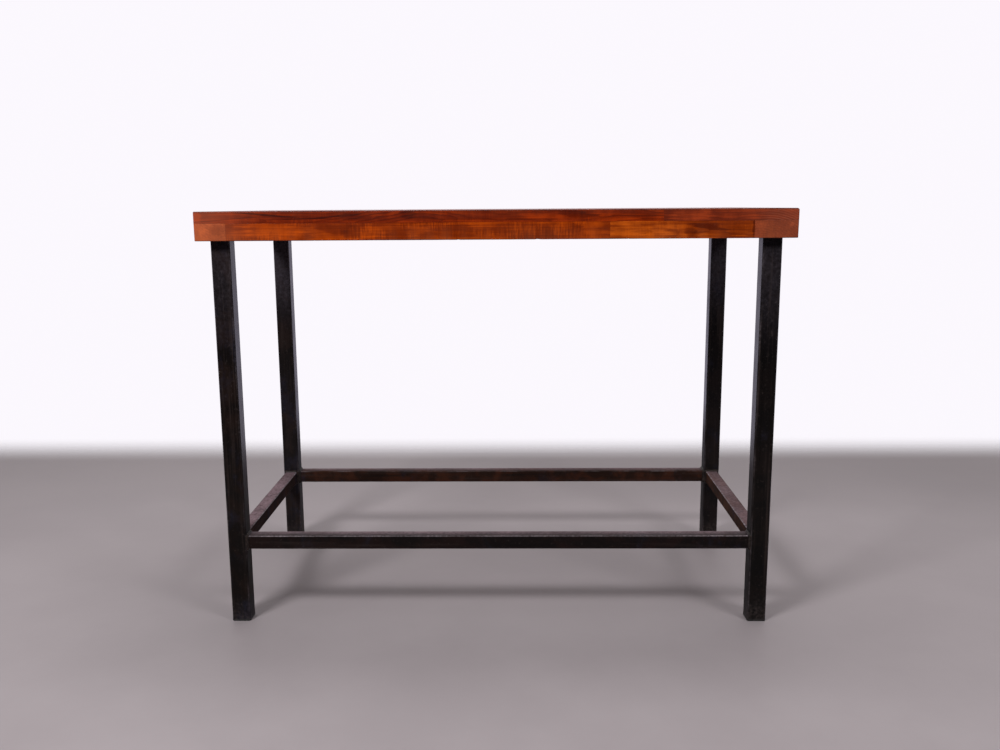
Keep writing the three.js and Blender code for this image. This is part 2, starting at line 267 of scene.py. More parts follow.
def wood(name, light, dark, *, shift, pith, ring, figure, grain="x", wave=0.035, flame=0.0, marks=(),
         dry_and_sheen=0.0, sweep=None, arcs=0.0):
    """Stained timber under a satin lacquer, so that long faces show wavy streaks and cut ends show arcs."""
    m = Timber(name, grain, shift)
    late = late_wood(m, pith, ring, wave, sweep)
    rings, streaks, blotches = figure
    blocks = m.noise((48, 14, 30), detail=2.0)
    lines = m.noise((1.7, 230, 230), detail=2.0, roughness=0.55)
    tone = m.plus(m.swing(m.streaks, streaks), m.swing(m.patches, blotches), m.swing(blocks, 0.2),
                  m.swing(lines, 0.28), 0.4, m.times(late, rings, m.span(m.fade, 0, 1, 0.1, 1.0)),
                  m.swing(m.fibre, 0.22), m.times(m.pores, 0.3))
    for *mark, amount in marks:
        tone = m.plus(tone, m.times(soft_mark(m, *mark), amount))
    if flame:
        tone = m.plus(tone, cross_figure(m, flame))
    light, dark = srgb(*light), srgb(*dark)
    between = tuple((a * b) ** 0.5 for a, b in zip(light, dark))
    colour = m.mix(m.span(tone, -0.1, 0.55), light, between)
    colour = m.mix(m.span(tone, 0.55, 1.2), colour, dark)

    on_top = m.smooth(m.z, *(top_high.z - depth for depth in PATINA_DEPTH))
    colour = m.over(colour, ((94, 46, 18), on_top, TOP_PATINA))
    if arcs:
        colour = m.over(colour, ((176, 100, 78), pale_arcs(m), arcs))
    # painted sheen and dry-looking wood: a pale pinkish tint towards the front's ends
    if dry_and_sheen:
        at_ends = m.smooth(m.math("ABSOLUTE", m.x), *DRY_AND_SHEEN_ENDS)
        colour = m.over(colour, ((172, 92, 66), at_ends, m.at_front, dry_and_sheen))
    # Painted shade: the lower edge, which faces the floor, is darkened to a deep brown. The upper front
    # edge is darkened the same way.
    low_edge_shade = m.smooth(m.z, *(top_low.z + depth for depth in LOW_EDGE_SHADE))
    upper_edge = m.times(m.at_front, m.smooth(m.z, *(top_high.z - depth for depth in UPPER_EDGE)))
    dark_top_edge_and_low_shade = m.times(m.math("MAXIMUM", low_edge_shade, upper_edge), m.span(m.patches, 0.35, 0.6, 0.3, 0.75))
    # darker along the top's upper outer edges, in a deep brown
    grime = m.attribute("grime")
    m.to("Base Color", m.over(colour, ((52, 15, 8), dark_top_edge_and_low_shade), ((150, 78, 44), m.attribute("worn"), 0.45),
                              ((34, 10, 6), grime, 0.85)))
    m.to("Roughness", m.plus(m.span(m.streaks, 0.3, 0.7, 0.28, 0.4), m.times(grime, 0.45),
                             m.times(dark_top_edge_and_low_shade, 0.4), m.times(m.pores, 0.15)))
    open_grain = m.minus(m.fibre, m.pores)
    m.bump([(open_grain, 0.12 * MM, 0.5), (late, 0.1 * MM, 0.35), (m.patches, 0.6 * MM, 0.25)])
    return m.material


# ---- steel, welds, screws and feet ----
ALONG_X, ALONG_Y, ALONG_Z = (3.2, 110, 110), (110, 3.2, 110), (110, 110, 3.2)


def blackened_steel(name, base, warm, warmth=0.5, grain=ALONG_Z, gloss=(0.18, 0.38), shine=0.1,
                    top_sheen=0.4):
    """Mild steel tube, blackened and lacquered by hand: brown and blue-black clouds, streaks wiped along
    the tube, a pale painted sheen towards the top, and dust and a duller lacquer towards the floor. The
    mesh says where it is tinted by heat, rubbed bare with a painted highlight on those edges, and scuffed
    by shoes with a painted sheen on the rail tops."""
    m = Material(name, Specular_IOR_Level=shine)
    z = m.xyz(m.place)[2]
    cloud = m.noise(13.0, detail=5.0, roughness=0.66, distortion=0.6)
    haze = m.noise((9, 9, 5.4), detail=4.0, roughness=0.7, offset=(27.9, 3.6, 15.3))
    wiped = m.noise(grain, detail=4.0, roughness=0.62)
    speck = m.noise(120.0, detail=4.0, roughness=0.68)
    fine = m.noise(700.0, detail=2.0, roughness=0.6)
    drawn = m.noise(tuple(scale * 9 for scale in grain), detail=2.0)
    shoes = m.noise((7, 7, 30), detail=4.0, roughness=0.65)

    def speckled(low, high):
        return m.span(speck, 0.35, 0.65, low, high)

    dust = m.times(m.smooth(m.plus(z, m.swing(haze, 0.06)), 0.085, 0.02), m.smooth(speck, 0.34, 0.64))
    # trodden: shoe scuffs on the low rails' tops, painted pale pinkish grey also as the sheen of the light
    # on them
    trodden = m.times(m.attribute("trodden"), m.span(shoes, 0.35, 0.65, 0.5, 1.0))
    # bare edges: rubbed steel, painted pale as a highlight line along the tube's corners
    bare_and_highlight = m.math("MULTIPLY", m.attribute("rubbed"), m.span(speck, 0.4, 0.62, 0.3, 1.0), clamp=True)
    m.to("Base Color", m.over(
        srgb(*base),
        (warm, m.smooth(cloud, 0.42, 0.62), warmth),
        ((31, 30, 42), m.smooth(haze, 0.54, 0.68), speckled(0.25, 0.8)),
        ((47, 38, 36), m.smooth(wiped, 0.52, 0.7), 0.55),
        ((7, 5, 5), m.smooth(wiped, 0.46, 0.28), 0.6),
        ((60, 52, 50), m.smooth(speck, 0.58, 0.72), 0.5),
        ((74, 64, 60), m.smooth(fine, 0.62, 0.75), 0.35),
        # painted sheen: paler and bluish towards the top of each piece, as the wall's light would show on
        # it
        ((62, 57, 64), m.smooth(z, 0.7, 0.95), speckled(top_sheen * 0.3, top_sheen)),
        ((88, 78, 76), dust, 0.26),
        ((66, 45, 36), m.attribute("heat"), speckled(0.15, 0.65)),
        ((136, 115, 122), trodden, m.span(speck, 0.35, 0.6, 0.45, 1.0)),
        ((152, 140, 146), bare_and_highlight)))
    m.to("Metallic", m.times(bare_and_highlight, 0.45))
    uneven = m.plus(m.times(cloud, 0.4), m.times(wiped, 0.4), m.times(speck, 0.2))
    dull = m.math("MAXIMUM", dust, m.smooth(z, 0.5, 0.28))
    rough = m.plus(m.span(uneven, 0.38, 0.62, *gloss), m.times(dull, 0.3))
    m.to("Roughness", m.mix_value(bare_and_highlight, rough, 0.32))
    m.bump([(cloud, 0.5 * MM, 0.3), (speck, 0.12 * MM, 0.4), (drawn, 0.03 * MM, 0.35),
            (fine, 0.03 * MM, 0.3)])
    return m.material


def weld_metal():
    """Weld beads blackened with the tube, flecked a little brighter."""
    m = Material("weld_metal", Specular_IOR_Level=0.22)
    cloud = m.noise(160.0)
    fine = m.noise(1400.0, detail=2.0)
    m.to("Base Color", m.over(srgb(20, 16, 15), ((46, 35, 31), m.smooth(cloud, 0.4, 0.66)),
                              ((84, 70, 66), m.smooth(fine, 0.55, 0.7), 0.35)))
    m.to("Roughness", m.span(cloud, 0.35, 0.65, 0.34, 0.52))
    m.bump([(cloud, 0.2 * MM, 0.4), (fine, 0.05 * MM, 0.4)])
    return m.material


def zinc_plate():
    """Bright zinc on the screws, yellowed in clouds."""
    m = Material("zinc_plate", Metallic=1.0)
    cloud = m.noise(220.0)
    fine = m.noise(2600.0, detail=2.0)
    m.to("Base Color", m.over(srgb(196, 194, 186), ((160, 156, 142), m.smooth(cloud, 0.35, 0.7))))
    m.to("Roughness", m.span(cloud, 0.3, 0.7, 0.24, 0.42))
    m.bump([(fine, 0.02 * MM, 0.4)])
    return m.material


def foot_plastic():
    """Black moulded plastic with a fine grain, scuffed by the floor."""
    m = Material("foot_plastic", Specular_IOR_Level=0.45)
    cloud = m.noise(60.0)
    grain = m.noise(1900.0, detail=2.0)
    scuff = m.smooth(m.noise((60, 60, 420)), 0.56, 0.74)
    m.to("Base Color", m.over(srgb(17, 17, 18), ((30, 29, 29), m.smooth(cloud, 0.3, 0.7)),
                              ((86, 82, 78), scuff, 0.5)))
    m.to("Roughness", m.span(cloud, 0.3, 0.7, 0.48, 0.66))
    m.bump([(grain, 0.05 * MM, 0.5), (scuff, 0.06 * MM, 0.3)])
    return m.material


# ---- what each piece is made of ----
ORANGE = dict(light=(184, 72, 4), dark=(78, 18, 0))
END_LIPPING = dict(**ORANGE, grain="y", ring=0.009, figure=(0.4, 0.5, 0.6), flame=0.4)
# The pith is the place across the grain and the height of the rings' middle. A sweep is a place along X,
# the side on which the rings bend away, and how fast. Figure is how strongly rings, streaks and blotches
# show. Marks are place along X, height, half length and half height in mm, slope, and how much they darken.
WOODS = {
    "top_board_front_left": dict(
        light=(170, 56, 4), dark=(64, 10, 0), shift=(0.3, 0.1, 0.0), pith=(-0.30, 1.015), ring=0.0085,
        wave=0.036, figure=(0.34, 0.32, 0.4), flame=0.2, dry_and_sheen=0.35, sweep=(-0.6, -1, 0.6),
        marks=[(-575, 1100.5, 85, 2.6, -0.085, 0.75), (-490, 1090.5, 85, 2.2, 0.02, 0.6),
               (-400, 1096.5, 70, 2.6, 0.075, 0.5), (-700, 1088, 90, 1.6, 0.08, 0.45),
               (-220, 1099, 22, 11, 0, 0.5), (100, 1097, 40, 12, 0, -0.2), (210, 1100, 50, 14, 0, 0.42),
               (360, 1098, 60, 12, 0, 0.2), (-752, 1094, 14, 20, 0, -0.45), (-365, 1097, 30, 12, 0, 0.25)]),
    "top_board_front_right": dict(
        light=(172, 66, 26), dark=(66, 17, 6), shift=(2.1, 0.4, 0.3), pith=(-0.41, 1.05), ring=0.0042,
        wave=0.016, figure=(0.4, 0.3, 0.35), dry_and_sheen=0.2, sweep=(0.58, 1, 0.55), arcs=0.5,
        marks=[(490, 1094, 60, 18, 0, -0.3)]),
    "top_board_2": dict(
        light=(150, 52, 16), dark=(64, 15, 6), shift=(4.2, 0.7, 0.2), pith=(-0.17, 1.0), ring=0.012,
        wave=0.03, figure=(0.4, 0.4, 0.35)),
    "top_board_3": dict(
        light=(176, 70, 24), dark=(80, 22, 8), shift=(6.3, 0.2, 0.9), pith=(0.03, 0.96), ring=0.009,
        wave=0.045, figure=(0.35, 0.4, 0.4)),
    "top_board_4": dict(
        light=(160, 58, 18), dark=(62, 14, 5), shift=(8.1, 0.5, 0.1), pith=(0.14, 1.0), ring=0.011,
        wave=0.04, figure=(0.42, 0.4, 0.35)),
    "top_board_5": dict(
        light=(168, 66, 24), dark=(72, 19, 8), shift=(1.4, 0.9, 0.7), pith=(0.33, 0.97), ring=0.01,
        wave=0.03, figure=(0.35, 0.45, 0.4)),
    "front_lipping_1": dict(
        light=(194, 94, 48), dark=(112, 48, 24), grain="y", shift=(0.2, 0, 0), pith=(-0.69, 1.13),
        ring=0.006, wave=0.006, figure=(0.25, 0.2, 0.8), dry_and_sheen=0.3,
        marks=[(-735, 1056, 14, 20, 0, -0.3), (-705, 1064, 16, 14, 0, 0.3)]),
    "front_lipping_2": dict(
        **ORANGE, shift=(3.3, 0.3, 0.2), pith=(-0.2, 1.06), ring=0.014, wave=0.03,
        figure=(0.2, 0.25, 0.45), flame=0.5, dry_and_sheen=0.35,
        marks=[(-560, 1062, 90, 22, 0, -0.3), (-668, 1073, 10, 8, 0, 0.2), (-640, 1054, 30, 22, 0, -0.25),
               (-410, 1066, 50, 12, -0.15, 0.22), (-305, 1058, 35, 20, 0, -0.2),
               (-195, 1060, 30, 18, 0, -0.25), (-100, 1058, 50, 20, 0, 0.25), (100, 1045, 80, 8, 0, 0.15),
               (250, 1058, 30, 24, 0, -0.15), (-360, 1056, 25, 18, 0, 0.25), (20, 1058, 30, 20, 0, 0.2),
               (165, 1058, 30, 20, 0, -0.25)]),
    "front_lipping_3": dict(
        light=(204, 92, 14), dark=(86, 23, 0), shift=(5.2, 0.8, 0.4), pith=(-0.28, 1.05), ring=0.012,
        figure=(0.25, 0.5, 0.5), flame=0.14,
        marks=[(370, 1062, 110, 22, 0, -0.34), (535, 1064, 55, 6, -0.16, 0.65),
               (490, 1052, 16, 12, 0, 0.4), (560, 1056, 90, 20, 0, 0.3), (648, 1058, 4, 26, 0, 0.6)]),
    "front_lipping_4": dict(
        light=(162, 74, 40), dark=(82, 31, 17), grain="y", shift=(0.9, 0, 0), pith=(0.665, 0.99),
        ring=0.0065, wave=0.004, figure=(0.2, 0.2, 0.6), dry_and_sheen=0.15, arcs=0.1,
        marks=[(668, 1058, 8, 30, 0, -0.12), (700, 1050, 6, 30, 0, 0.12), (745, 1070, 10, 6, 0, -0.3)]),
    "back_lipping": dict(
        **ORANGE, shift=(7.7, 0.3, 0.6), pith=(0.3, 1.0), ring=0.01, figure=(0.35, 0.5, 0.6), flame=0.5),
    "left_lipping": dict(**END_LIPPING, shift=(2.6, 0.3, 0.1), pith=(-0.8, 1.0)),
    "right_lipping": dict(**END_LIPPING, shift=(9.1, 0.6, 0.5), pith=(0.82, 1.02)),
}
# One copy of the blackened steel for each leg and rail. Their colours are partly each piece's own tone and
# partly painted light and shade, lighter or darker for how much light reaches that piece, as in the darker
# left rail and front-left leg and the lighter right rail.
STEEL_TONES_AND_PAINTED_LIGHT = {
    "leg_front_left": dict(base=(13, 9, 8), warm=(29, 18, 14), warmth=0.65, top_sheen=0.35),
    "leg_front_right": dict(base=(11, 9, 9), warm=(24, 17, 15)),
    "leg_back_left": dict(base=(22, 18, 18), warm=(42, 30, 27), top_sheen=1.0),
    "leg_back_right": dict(base=(17, 14, 15), warm=(31, 23, 22), top_sheen=0.7),
    "rail_front": dict(base=(11, 6, 6), warm=(28, 14, 12), warmth=0.7, grain=ALONG_X, gloss=(0.24, 0.46),
                       shine=0.12),
    "rail_back": dict(base=(34, 18, 12), warm=(62, 32, 20), warmth=0.8, grain=ALONG_X, gloss=(0.42, 0.62)),
    "rail_left": dict(base=(25, 13, 12), warm=(47, 27, 21), warmth=0.8, grain=ALONG_Y, gloss=(0.5, 0.7),
                      shine=0.05),
    "rail_right": dict(base=(41, 25, 18), warm=(72, 44, 32), warmth=0.8, grain=ALONG_Y, gloss=(0.46, 0.66),
                       shine=0.06),
}
STEEL = {part: blackened_steel(f"steel_{part}", **tone_and_light) for part, tone_and_light in STEEL_TONES_AND_PAINTED_LIGHT.items()}
WELD = weld_metal()
ZINC = zinc_plate()
PLASTIC = foot_plastic()


# ---- making objects ----
def add_object(name, data):
    made = bpy.data.objects.new(name, data)
    bpy.context.scene.collection.objects.link(made)
    return made


def add_piece(name, mesh, material, replaced=(), sharp=180):
    """Adds a visible piece. Edges that turn by more than the sharp angle, in degrees, stay crisp."""
    mesh.materials.append(material)
    mesh.shade_smooth()
    mesh.set_sharp_from_angle(angle=math.radians(sharp))
    made = add_object(name, mesh)
    made.modifiers.new("even_normals", "WEIGHTED_NORMAL").keep_sharp = True
    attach(made, "root")
    if replaced:
        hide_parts(*replaced)


def mesh_from(name, points, faces):
    mesh = bpy.data.meshes.new(name)
    mesh.from_pydata([tuple(p) for p in points], [], faces)
    shape = bmesh.new()
    shape.from_mesh(mesh)
    bmesh.ops.recalc_face_normals(shape, faces=shape.faces)
    shape.to_mesh(mesh)
    shape.free()
    return mesh


def set_attributes(mesh, **attributes):
    for name, values in attributes.items():
        mesh.attributes.new(name, "FLOAT", "POINT").data.foreach_set("value", values)


def rounded_square(size, radius, steps=8):
    flat = size / 2 - radius
    points = []
    for quarter, (u, v) in enumerate(((1, 1), (-1, 1), (-1, -1), (1, -1))):
        for step in range(steps + 1):
            angle = (quarter + step / steps) * math.pi / 2
            points.append((u * flat + radius * math.cos(angle), v * flat + radius * math.sin(angle)))
    return points


def skin(rings, closed=False):
    """Points and faces over rings of equal point count. A closed skin ends on its first ring, and an open
    one has caps."""
    count = len(rings[0])
    points = [point for ring in rings for point in ring]
    faces = []
    for span in range(len(rings) if closed else len(rings) - 1):
        low, high = span * count, (span + 1) % len(rings) * count
        for i in range(count):
            j = (i + 1) % count
            faces.append((low + i, low + j, high + j, high + i))
    if not closed:
        faces.append(tuple(reversed(range(count))))
        faces.append(tuple(range(len(points) - count, len(points))))
    return points, faces


# ---- the wooden top ----
UPRIGHT_RADIUS = 4 * MM
TOP_ARRIS = 2.6 * MM
LOW_ARRIS = 1.4 * MM
JOINT_ARRIS = 0.35 * MM
HANDLED_RADIUS = 6 * MM
HANDLED_REACH = 40 * MM
OUTSIDE = 6 * MM  # what is this near the top's outline is on the outside
GLUE_LINE = 0.3 * MM
STATION = 9 * MM  # between the cuts across a plank, which let its edges wear unevenly
END_STATION = 6 * MM
ARRIS_BAND = 3.2 * MM
EDGE_LOSS = 0.55 * MM
END_LOSS, END_REACH = 0.7 * MM, 14 * MM
# Small losses of wood along the front's edges: place along X, reach along the edge, depth.
LOW_CHIPS = [(-0.092, 5, 1.5), (0.108, 7, 1.9), (-0.455, 3.5, 1.0), (0.335, 4, 0.9), (0.602, 3, 0.8)]
TOP_CHIPS = [(-0.51, 6, 0.8), (-0.12, 5, 0.7), (0.235, 7, 0.9), (0.52, 4, 0.7), (0.33, 3.5, 0.7)]


def near_outline(point):
    """Whether a point is by one of the top's ends, and whether it is by its front or back."""
    return top_high.x - abs(point.x) < OUTSIDE, top_high.y - abs(point.y) < OUTSIDE


def bevel(shape, edges, offset, segments):
    if edges:
        bmesh.ops.bevel(shape, geom=edges, offset=offset, segments=segments, profile=0.5, affect="EDGES",
                        clamp_overlap=True)
    shape.normal_update()


def square_edges(shape):
    return [e for e in shape.edges if len(e.link_faces) == 2 and e.calc_face_angle() > math.radians(80)]


def plank_form(node):
    """A plank with softened outer edges and hairline chamfers where it meets its neighbours."""
    low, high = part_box(node)
    for i in range(3):  # planks meet in the middle of their glue line
        low[i] -= GLUE_LINE / 2 if low[i] - top_low[i] > GLUE_LINE else 0
        high[i] += GLUE_LINE / 2 if top_high[i] - high[i] > GLUE_LINE else 0
    shape = bmesh.new()
    bmesh.ops.create_cube(shape, size=1)
    for vertex in shape.verts:
        vertex.co = Vector(high[i] if vertex.co[i] > 0 else low[i] for i in range(3))
    shape.normal_update()

    def upright_corner(edge):
        a, b = (v.co for v in edge.verts)
        return all(near_outline(a)) and abs(a.z - b.z) > 1 * MM

    def arris(edge, sign):
        up, side = sorted(edge.link_faces, key=lambda f: -abs(f.normal.z))
        is_outside = abs(side.normal.z) < 0.5 and any(near_outline(side.calc_center_median()))
        return up.normal.z * sign > 0.9 and is_outside

    bevel(shape, [e for e in shape.edges if upright_corner(e)], UPRIGHT_RADIUS, 8)
    is_top, is_low = high.z > top_high.z - 1 * MM, low.z < top_low.z + 1 * MM
    inner = [e for e in square_edges(shape) if not (is_top and arris(e, 1) or is_low and arris(e, -1))]
    bevel(shape, inner, JOINT_ARRIS, 2)
    bevel(shape, square_edges(shape), *((TOP_ARRIS, 6) if is_top else (LOW_ARRIS, 5)))
    return shape


def add_stations(shape, axis, places):
    normal = Vector((axis == 0, axis == 1, axis == 2))
    for place in places:
        bmesh.ops.bisect_plane(shape, geom=shape.verts[:] + shape.edges[:] + shape.faces[:],
                               plane_co=normal * place, plane_no=normal, dist=1e-6)
    shape.normal_update()


def plank_stations(node, axis):
    """Where a plank is cut across: all along it, and closely by the chips of a front plank."""
    low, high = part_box(node)
    start, length = low[axis] + END_STATION, high[axis] - low[axis] - 2 * END_STATION
    count = int((high[axis] - low[axis]) / STATION)
    places = [start + length * i / count for i in range(count + 1)]
    if axis == 0 and low.y < top_low.y + OUTSIDE:
        for x, reach, _ in LOW_CHIPS if low.z < top_low.z + OUTSIDE else TOP_CHIPS:
            places += [x + reach * MM * share / 6 for share in range(-6, 7)]
    margin = END_STATION / 2
    return [place for place in places if low[axis] + margin < place < high[axis] - margin]


def arris_share(point):
    """1 on the top's outer upper or lower edge, falling to 0 within the softened band."""
    inward = min(top_high.x - abs(point.x), top_high.y - abs(point.y))
    height = min(top_high.z - point.z, point.z - top_low.z)
    return max(0.0, 1 - max(inward, height) / ARRIS_BAND)


def inward_from(point):
    """The way into the wood from a point on one of the top's outer edges."""
    by_end, by_side = near_outline(point)
    return Vector((-math.copysign(1, point.x) if by_end else 0,
                   -math.copysign(1, point.y) if by_side else 0,
                   -1 if point.z > (top_low.z + top_high.z) / 2 else 1)).normalized()


def wear_plank(shape):
    """Takes a little off the outer edges, unevenly and most at the right end, and knocks out the chips."""
    chips = [(Vector((x, top_low.y, z)), reach * MM, depth * MM)
             for z, row in ((top_low.z, LOW_CHIPS), (top_high.z, TOP_CHIPS)) for x, reach, depth in row]
    for vertex in shape.verts:
        rub = noise.noise(vertex.co * 23) * 0.5 + noise.noise(vertex.co * 71) * 0.3 + 0.4
        by_end = max(0.0, 1 - (top_high.x - vertex.co.x) / END_REACH)
        loss = arris_share(vertex.co) * (max(0.0, rub) * EDGE_LOSS + by_end * END_LOSS)
        for middle, reach, depth in chips:
            away = vertex.co - middle
            away.y *= 1.6
            if away.length < reach:
                ragged = 0.75 + 0.5 * noise.noise(vertex.co * 900)
                loss += depth * (1 - (away.length / reach) ** 2) * ragged
        vertex.co += inward_from(vertex.co) * loss


def round_handled_corner(shape):
    """The right end's upper edge is worn round where people pass, most of all at the front corner."""
    for vertex in shape.verts:
        back = max(0.0, vertex.co.y - top_low.y)
        radius = TOP_ARRIS + (HANDLED_RADIUS - TOP_ARRIS) * math.exp(-back / HANDLED_REACH)
        off_x, off_z = vertex.co.x - (top_high.x - radius), vertex.co.z - (top_high.z - radius)
        away = math.hypot(off_x, off_z)
        if off_x > 0 and off_z > 0 and away > radius:
            vertex.co.x += off_x * (radius / away - 1)
            vertex.co.z += off_z * (radius / away - 1)


def add_plank(node):
    low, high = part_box(node)
    shape = plank_form(node)
    axis = 0 if high.x - low.x > high.y - low.y else 1
    places = plank_stations(node, axis)
    if node == "top_board_front_right":
        corner = [HANDLED_RADIUS * share / 4 for share in (2, 3, 4)]
        places += [top_high.x - inset for inset in corner]
        add_stations(shape, 2, [top_high.z - inset for inset in corner])
    add_stations(shape, axis, sorted(places))
    round_handled_corner(shape)
    wear_plank(shape)
    mesh = bpy.data.meshes.new(f"{node}_mesh")
    shape.to_mesh(mesh)
    shape.free()
    points = [v.co for v in mesh.vertices]
    worn = [arris_share(p) * max(0.0, 0.5 + noise.noise(p * 40)) for p in points]
    grime = [arris_share(p) if p.z > BOARDS_UNDERSIDE else 0.0 for p in points]
    set_attributes(mesh, worn=worn, grime=grime)
    add_piece(f"{node}_wood", mesh, wood(f"wood_{node}", **WOODS[node]), [node], sharp=60)


# ---- steel tube ----
TUBE_STATION = 28 * MM
END_STATIONS = [12 * MM * i for i in range(1, 6)]
WELD_STATIONS = [10 * MM * i for i in range(-6, 7)]
WALL_UNEVENNESS = 0.14 * MM
HEAT_REACH = 26 * MM
RAIL_REACH = (LEG_X - LEG_SIZE / 2, LEG_Y - LEG_SIZE / 2)
MIDDLE_REACH = LEG_Y - RAIL_SIZE / 2
# How bare a low rail's two upper edges are, first the one that feet come up against, and how scuffed its
# top is. The bare edges are painted pale as a highlight and the scuffed top as a sheen.
RAIL_WEAR_AND_SHINE = {"lower_rail_front": (0.66, 0.1, 0.95), "lower_rail_back": (0.2, 0.1, 0.9),
             "lower_rail_left": (0.95, 1.3, 1.0), "lower_rail_right": (1.1, 0.1, 0.68)}
OTHER_WEAR_AND_SHINE = (0.35, 0.1, 0.0)
# Bare edges are painted pale as a highlight.
LEAST_WEAR_AND_HIGHLIGHT = 0.1  # on a rail's lower edges and a leg's front ones
# Where the rails are welded to the legs.
JOINTS = [Vector((x * reach_x, y * reach_y, z)) for z in LEVELS.values() for x in (-1, 1) for y in (-1, 1)
          for reach_x, reach_y in ((RAIL_REACH[0], LEG_Y), (LEG_X, RAIL_REACH[1]))]


def tube_stations(low, high, is_leg):
    """Where a tube has rings of points: all along it, and closely by its ends and a leg's welds."""
    count = int((high - low) / TUBE_STATION)
    places = {low, high, *(low + (high - low) * i / count for i in range(1, count))}
    places |= {place for step in END_STATIONS for place in (low + step, high - step)}
    if is_leg:
        places |= {LEVELS["lower"] + step for step in WELD_STATIONS}
    return sorted(places)


def add_tube(node, axis, middle, low, high, size, radius, wall, material):
    """A hollow square tube round a line through its middle, between two levels of one axis. Its walls are
    very slightly uneven, and its mesh says how heated, rubbed bare and trodden each point is. The bare
    edges are painted pale as a highlight, and the trodden tops as a sheen."""
    across = [i for i in range(3) if i != axis]
    half = size / 2

    def ring(outline, place):
        points = []
        for offsets in outline:
            point = middle.copy()
            point[axis] = place
            for i, offset in zip(across, offsets):
                point[i] += offset
            points.append(point)
        return points

    outer = rounded_square(size, radius)
    inner = rounded_square(size - 2 * wall, max(radius - wall, 1 * MM))
    rings = [ring(outer, place) for place in tube_stations(low, high, is_leg=axis == 2)]
    mesh = mesh_from(f"{node}_tube_mesh", *skin(rings + [ring(inner, high), ring(inner, low)], closed=True))

    near_bare_and_highlight, far_bare_and_highlight, tread_and_sheen = RAIL_WEAR_AND_SHINE.get(node, OTHER_WEAR_AND_SHINE)
    heat, rubbed, trodden = [], [], []
    for vertex in mesh.vertices:
        u, v = (vertex.co[i] - middle[i] for i in across)
        at_end = vertex.co[axis] < low + 1 * MM or vertex.co[axis] > high - 1 * MM
        if max(abs(u), abs(v)) > half - wall / 2 and not at_end:
            uneven = abs(noise.noise(vertex.co * 9 + Vector((size, 0, 0)) * 100)) * WALL_UNEVENNESS
            for i, offset in zip(across, (u, v)):
                vertex.co[i] -= math.copysign(uneven * (abs(offset) / half) ** 8, offset)
        heat.append(max(math.exp(-(vertex.co - joint).length / HEAT_REACH) for joint in JOINTS))
        # rubbed: bare corners, whose pale colour also paints a highlight along the edges
        corner = max(0.0, (min(abs(u), abs(v)) / half - 0.82) / 0.12)
        faces_feet = u < 0 if axis == 0 else u * middle.x < 0
        edge_bare_and_highlight = LEAST_WEAR_AND_HIGHLIGHT if v <= 0 else near_bare_and_highlight if faces_feet else far_bare_and_highlight
        patchy = (0.28 if axis == 2 else 0.5) * noise.noise(vertex.co * 16)
        rubbed.append(corner * max(0.0, edge_bare_and_highlight + patchy))
        # trodden: the low rails' tops, scuffed and painted paler as a sheen
        on_tread = axis != 2 and v > half - 0.3 * MM
        trodden.append(tread_and_sheen * (0.1 if axis == 0 and u < 0 else 1.0) if on_tread else 0.0)
    set_attributes(mesh, heat=heat, rubbed=rubbed, trodden=trodden)
    add_piece(f"{node}_tube", mesh, material, [node], sharp=50)


def add_rail(node, level, axis, reach, material):
    middle = centre(node)
    middle.z = LEVELS[level]
    add_tube(node, axis, middle, -reach, reach, RAIL_SIZE, RAIL_RADIUS, RAIL_WALL, material)


def add_tubes():
    for place in CORNERS:
        node = f"leg_{place}"
        low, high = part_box(node)
        add_tube(node, 2, centre(node), low.z, high.z, LEG_SIZE, LEG_RADIUS, LEG_WALL, STEEL[node])
    for level in LEVELS:
        for side, axis, _ in RAILS:
            add_rail(f"{level}_rail_{side}", level, axis, RAIL_REACH[axis], STEEL[f"rail_{side}"])
    add_rail("upper_rail_middle", "upper", 1, MIDDLE_REACH, STEEL["rail_left"])


# ---- welds ----
WELD_LEG = 5.2 * MM
WELD_STEP = 0.42 * MM
ROOT_DEPTH = 0.25 * MM  # how far the bead's hidden corner goes into the steel
RIPPLE = 2.3 * MM
SECTION_STEPS = 9
FLUSH_DEPTH = 1.2 * MM  # below a rail's top, where the beads under the boards stop
TAB_WELD_INSET = 7 * MM
SPATTER_DROPS = 7
UP, DOWN = Vector((0, 0, 1)), Vector((0, 0, -1))


def bead(points, frames, rng, closed=False, tapered=False):
    """A fillet weld along a line of root points. Each frame holds the two directions that the weld
    spreads in and how far its toe drops behind the first of them, where the tube's corner falls away."""
    rings = []
    travelled = 0.0
    offset = rng.random() * 50
    for i, (root, (out, along, drop)) in enumerate(zip(points, frames)):
        if i:
            travelled += (root - points[i - 1]).length
        swell = 1 + 0.10 * noise.noise(Vector((travelled * 90, offset, 0)))
        if tapered:
            swell *= min(1.0, 0.35 + min(i, len(points) - 1 - i) * 0.08)
        ring = [root - (out + along) * ROOT_DEPTH - along * drop * 0.5]
        for step in range(SECTION_STEPS):
            t = step / (SECTION_STEPS - 1)
            arch = math.sin(math.pi * t)
            shiver = noise.noise(Vector((travelled * 300, t, offset)))
            turn = travelled / RIPPLE - 0.45 * arch + 0.08 * shiver
            crest = 0.5 + 0.5 * math.cos(2 * math.pi * (turn % 1.0) ** 0.8)
            lift = arch * (0.55 + 0.42 * crest) * MM * swell
            leg = WELD_LEG * swell
            point = root + out * (leg * (1 - t)) + along * (leg * t) + (out + along).normalized() * lift
            ring.append(point - along * drop * (1 - t))
        rings.append(ring)
    return skin(rings, closed)


def weld_line():
    """Points close together round a rail's outline."""
    outline = rounded_square(RAIL_SIZE, RAIL_RADIUS, steps=6)
    line = []
    for (u, v), (next_u, next_v) in zip(outline, outline[1:] + outline[:1]):
        steps = max(1, round(math.hypot(next_u - u, next_v - v) / WELD_STEP))
        line += [(u + (next_u - u) * i / steps, v + (next_v - v) * i / steps) for i in range(steps)]
    return line


